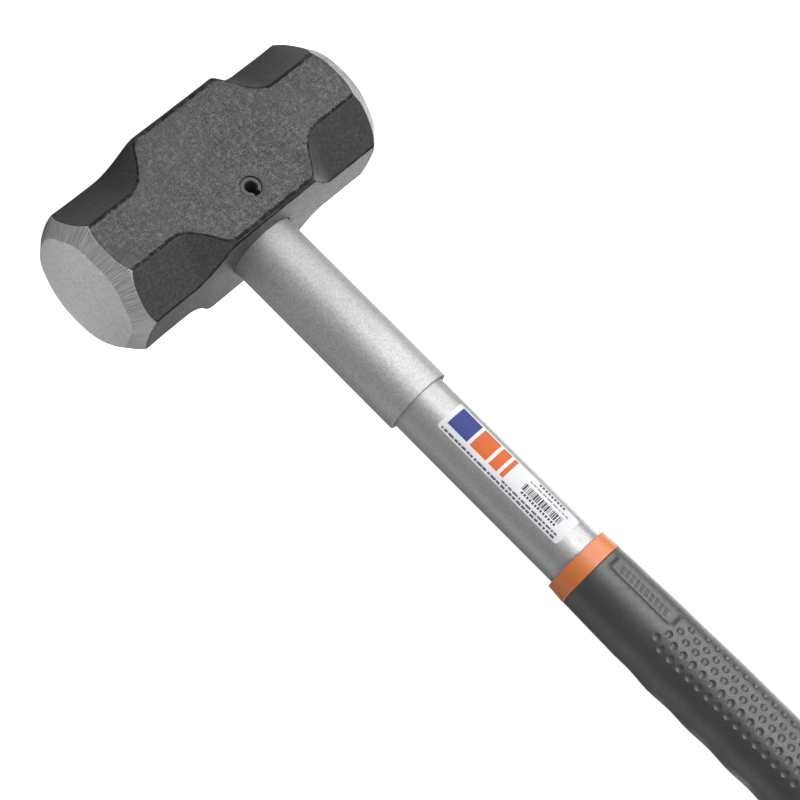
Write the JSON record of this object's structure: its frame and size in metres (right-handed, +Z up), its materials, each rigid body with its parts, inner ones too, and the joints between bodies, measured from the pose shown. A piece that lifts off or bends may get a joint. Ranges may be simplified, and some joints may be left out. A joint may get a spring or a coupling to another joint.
{
  "type": "sledgehammer",
  "caption": "Two-handed sledgehammer: forged double-faced octagonal head pinned to a steel tube handle with a guard sleeve and a long dimpled rubber grip.",
  "frame": {"origin": "centre of the head's top flat, on the surface that the hammer stands on", "axes": "+Z up along the handle towards the butt; X along the head from one striking face to the other; -Y towards the front cheek, the label side"},
  "size_m": [0.174, 0.0716, 0.7],
  "materials": {
    "forged_steel": "forged and blackened, with bare ground bevels and striking faces",
    "silver_coated_steel": "fine-grained silver coating",
    "silver_coated_sleeve": "coarser-grained silver coating",
    "spring_steel": "blackened spring steel",
    "black_plastic": "matte moulded plastic",
    "orange_plastic": "satin moulded plastic",
    "dark_rubber": "satin moulded rubber with dimples",
    "label_film": "satin printed film"
  },
  "bodies": {
    "root": {"head": "forged_steel", "handle_tube": "silver_coated_steel", "guard_sleeve": "silver_coated_sleeve", "retaining_pin": "spring_steel", "eye_plug": "black_plastic", "grip_core": "orange_plastic", "grip_cover": "dark_rubber", "butt_plug": "orange_plastic", "label": "label_film"}
  },
  "joints": []
}
